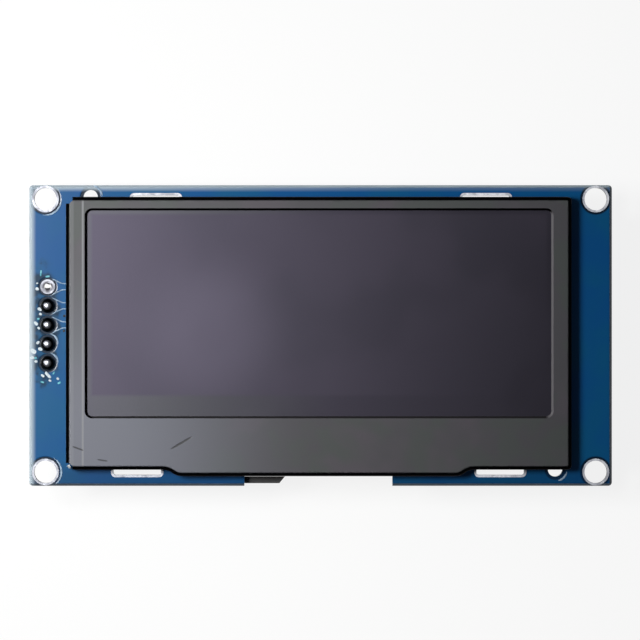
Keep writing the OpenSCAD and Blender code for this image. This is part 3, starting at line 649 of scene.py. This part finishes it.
# Generic ticks beside the pads, as (x, y, length, width, turn in degrees).
ticks = bmesh.new()
for x, y, length, width, turn in (
        (-37.7, 6.2, 0.5, 0.42, -15), (-37.7, 6.95, 0.3, 0.22, 20),
        (-37.35, 3.5, 0.62, 0.4, -28), (-37.25, 2.85, 0.4, 0.34, -20),
        (-37.85, 1.6, 0.66, 0.4, -42), (-37.48, 0.98, 0.42, 0.3, -38),
        (-37.6, -0.95, 0.5, 0.36, 40), (-37.27, -1.8, 0.6, 0.44, -15),
        (-38.2, -2.1, 0.85, 0.55, -35), (-38.35, -2.95, 0.5, 0.4, 0),
        (-37.85, -3.45, 0.44, 0.34, 0),
        (-36.25, -5.28, 1.1, 0.36, -48), (-36.95, -5.35, 0.5, 0.32, -35),
        (-34.95, -5.75, 0.4, 0.3, -35), (-36.0, -6.0, 0.4, 0.26, -25)):
    stroke(ticks, (x, y), length, width, turn, front_z)
piece_of("silk_ticks", ticks, ink, smooth=False)

# Drops of flux that dried green beside the header, listed as the ticks are, and painted
# shade, a black ridge on the wall of its empty hole.
drops = bmesh.new()
for x, y, length, width, turn in (
        (-36.3, 7.85, 0.6, 0.24, 8), (-37.2, 8.3, 0.8, 0.22, 85),
        (-37.54, 2.2, 0.4, 0.26, 15), (-37.9, -3.0, 0.36, 0.3, 0),
        (-37.0, -6.2, 0.5, 0.2, -20), (-34.75, -6.3, 0.5, 0.24, 30),
        (-35.5, -5.0, 0.44, 0.2, 60)):
    stroke(drops, (x, y), length, width, turn, front_z, height=0.03)
piece_of("flux_drops", drops, green_flux, smooth=False)
hole_shade = bmesh.new()
EMPTY_HOLE_R = 0.54  # a little more than its bore, so that the painted shade lies on the wall
for start, end, width in ((200, 345, 0.36), (35, 115, 0.22)):
    ridge(hole_shade, arc(pad_places[0], EMPTY_HOLE_R - width / 2, start, end, 16), width, 0.1,
          front_z - 0.25)
piece_of("painted_hole_shade", hole_shade, hole_shade_black)

# Where the mask stands up over the edge of the copper, a paler ridge with a painted highlight:
# the shoulders of the tracks that run from three pads to under the bezel, and the outer rims
# of the cleared rings round the two pads that have none, round both locating holes and round
# the left corner lands, on the arcs that catch the light.
shoulder_highlights = bmesh.new()
for centre in pad_places[:3]:
    for side in (1, -1):
        by_track = centre.y + side * (TRACK_W / 2 + 0.05)
        path = [(centre.x + 0.55, centre.y + side * 1.08), (centre.x + 2 * pad_r, by_track),
                (bezel_low.x + 0.3, by_track)]
        ridge(shoulder_highlights, curve_through(path), 0.16, 0.05, front_z)
for centre in pad_places[3:]:
    ridge(shoulder_highlights, arc(centre, pad_r + 0.42, 76, 0), 0.3, 0.06, front_z, taper=1.1)
for centre, start, end in ((locating_places[0], 75, 5), (locating_places[1], -10, -75)):
    ridge(shoulder_highlights, arc(centre, LOCATING_R + 0.6, start, end), 0.26, 0.06, front_z,
          taper=0.5)
for x, y, start, end in ((-1, 1, -5, -100), (-1, -1, 60, -50)):
    centre = Vector((x * hole_x, y * hole_y, 0))
    ridge(shoulder_highlights, arc(centre, corner_land_r + 0.36, start, end, 40), 0.24, 0.06, front_z,
          taper=1.2)
piece_of("mask_shoulder_highlights", shoulder_highlights, mask_edge_highlight)

# Two small plated holes by the bezel, closed over by the mask.
vias = bmesh.new()
for x, y in ((-34.08, 2.6), (-34.14, 0.62)):
    stroke(vias, (x, y), 0.36, 0.36, 0, front_z, height=0.012)
piece_of("tented_vias", vias, deep_mask, smooth=False)


CORNER_STEPS = 8  # flat faces round each of the corners below


def bare_corner():
    """The sheet's corner between two walls, where the fold tore and rubbed bright: a
    small curved tongue that leans against the wall ends."""
    tongue = bmesh.new()
    centre = Vector((bezel_low.x + 0.72, bezel_bottom + 0.72))
    first_angle, sweep, sheet = 198, 54, 0.2
    count = CORNER_STEPS + 1
    rows = []
    # Its outer radius at each height, from the board up.
    for z, radius in ((front_z + 0.05, 0.62), (2.6, 0.66), (3.3, 0.62), (3.62, 0.4)):
        row = []
        for thick in (0.0, sheet):
            for k in range(count):
                angle = math.radians(first_angle + sweep * k / CORNER_STEPS)
                out = Vector((math.cos(angle), math.sin(angle))) * (radius - thick)
                row.append(tongue.verts.new((centre.x + out.x, centre.y + out.y, z)))
        rows.append(row)
    for low, high in zip(rows, rows[1:]):
        loop = list(range(count)) + list(range(2 * count - 1, count - 1, -1))
        for a, b in zip(loop, loop[1:] + loop[:1]):
            tongue.faces.new((low[a], low[b], high[b], high[a]))
    for row in (rows[0], rows[-1]):
        for k in range(CORNER_STEPS):
            tongue.faces.new((row[k], row[k + 1], row[k + count + 1], row[k + count]))
    piece_of("bare_corner", tongue, raw_steel)


bare_corner()


def closed_corners():
    """The two right corners of the bezel, where the folds meet in a tight drawn corner:
    a quarter post, with its top eased over like the folds. A ring of points goes round
    it at each share of its radius, and the last ring is down on the board."""
    posts = bmesh.new()
    for y, turn in ((bezel_high.y - CORNER_R, 0), (bezel_bottom + CORNER_R, -90)):
        centre = Vector((bezel_high.x - CORNER_R, y))
        rings = []
        angles = [math.radians(turn + 90 * k / CORNER_STEPS) for k in range(CORNER_STEPS + 1)]
        for share in (0.33, 0.45, 0.55, 0.65, 0.75, 0.85, 0.92, 0.97, 1.0, None):
            if share is None:
                share, z = 1.0, front_z + 0.01
            else:
                deep = max(FOLD_R - (1 - share) * CORNER_R, 0.0)
                z = bezel_high.z - 0.004 - FOLD_R + math.sqrt(FOLD_R ** 2 - deep ** 2)
            ring = []
            for angle in angles:
                # A squarer curve than a circle, so that the post fills its corner.
                c, s = math.cos(angle), math.sin(angle)
                out = CORNER_R * share / (c ** 4 + s ** 4) ** 0.25
                ring.append(posts.verts.new((centre.x + c * out, centre.y + s * out, z)))
            rings.append(ring)
        axis = [posts.verts.new((centre.x, centre.y, ring[0].co.z)) for ring in rings]
        for k in range(CORNER_STEPS):
            posts.faces.new((axis[0], rings[0][k], rings[0][k + 1]))
            posts.faces.new((axis[-1], rings[-1][k + 1], rings[-1][k]))
        for low, high, a, b in zip(rings, rings[1:], axis, axis[1:]):
            for k in range(CORNER_STEPS):
                posts.faces.new((low[k], low[k + 1], high[k + 1], high[k]))
            posts.faces.new((a, b, high[0], low[0]))
            posts.faces.new((a, low[-1], high[-1], b))
    piece_of("closed_corners", posts, enamel, smooth=False)


closed_corners()


# --- Floor, light and camera ---------------------------------------------------------


GLOW_SHARE = 0.86  # the rest of the card's light is what falls on it
PIN_GAP = 0.01  # under the points of the pins
CARD_HALF = 30000


def pale_floor():
    """One even white card, which glows to the eye and keeps a share of the real shadow."""
    material, tree, _ = begin("white_card")
    path = add(tree, "LightPath")
    seen = calc(tree, "MAXIMUM", path.outputs["Is Camera Ray"], path.outputs["Is Glossy Ray"])
    seen = calc(tree, "MAXIMUM", seen, path.outputs["Is Transmission Ray"])
    share = calc(tree, "MULTIPLY", seen, GLOW_SHARE)
    plain = add(tree, "BsdfDiffuse", {"Color": "#d6d6d4"})
    glow = add(tree, "Emission", {"Color": "#fefefe"})
    return finish(material, add(tree, "MixShader", {0: share, 1: plain, 2: glow}))


card = bmesh.new()
bmesh.ops.create_grid(card, x_segments=1, y_segments=1, size=CARD_HALF)
for corner in card.verts:
    corner.co.z = pin_low.z - PIN_GAP
bmesh.ops.scale(card, vec=(MM, MM, MM), verts=card.verts)
floor_mesh = bpy.data.meshes.new("floor")
card.to_mesh(floor_mesh)
card.free()
floor_mesh.materials.append(pale_floor())
floor = bpy.data.objects.new("floor", floor_mesh)
bpy.context.scene.collection.objects.link(floor)

# A dim grey room, a little brighter in the light it sends to the part, which is white at
# the horizon where the card ends.
world = bpy.data.worlds.new("dim_studio")
world.use_nodes = True
tree = world.node_tree
tree.nodes.clear()
height = add(tree, "SeparateXYZ", {"Vector": add(tree, "TexCoord").outputs["Generated"]})
horizon = ease(tree, height.outputs["Z"], 0.03, 0.12, 1.0, 0.0)
path = add(tree, "LightPath")
unseen = path.outputs["Is Diffuse Ray"]
shade = blend(tree, unseen, "#2b2c2f", "#5c5e62")
band = between(tree, unseen, 1.0, 0.0)
band = calc(tree, "MULTIPLY", band, horizon)
shade = blend(tree, band, shade, "#fafafa")
add(tree, "OutputWorld", {"Surface": add(tree, "Background", {"Color": shade})})
bpy.context.scene.world = world


def softbox(name, at, aim, size, watts, spread=180):
    """A square softbox that faces a point on the board and isn't itself in view. Its
    places and its size are in millimetres, its power in watts and its spread in degrees."""
    lamp = bpy.data.lights.new(name, "AREA")
    lamp.shape = "SQUARE"
    lamp.size = size * MM
    lamp.energy = watts
    lamp.spread = math.radians(spread)
    box = bpy.data.objects.new(name, lamp)
    box.location = Vector(at) * MM
    box.rotation_euler = (Vector(aim) - Vector(at)).to_track_quat("-Z", "Y").to_euler()
    box.visible_camera = False
    bpy.context.scene.collection.objects.link(box)


softbox("window_light", (-136, 32, 250), (-52, 6, 0), 90, 0.18, spread=64)
softbox("side_card", (-260, 90, 75), (-20, 0, 0), 120, 0.2)

bpy.context.scene.view_settings.view_transform = "Standard"
# A long lens that looks straight down, a little above the middle of the board.
CAMERA_AT = Vector((-0.08, 2.06, 800))
lens = bpy.data.cameras.new("camera")
lens.sensor_width = 36
lens.lens = 337.7
camera = bpy.data.objects.new("camera", lens)
camera.location = CAMERA_AT * MM
bpy.context.scene.collection.objects.link(camera)
bpy.context.scene.camera = camera
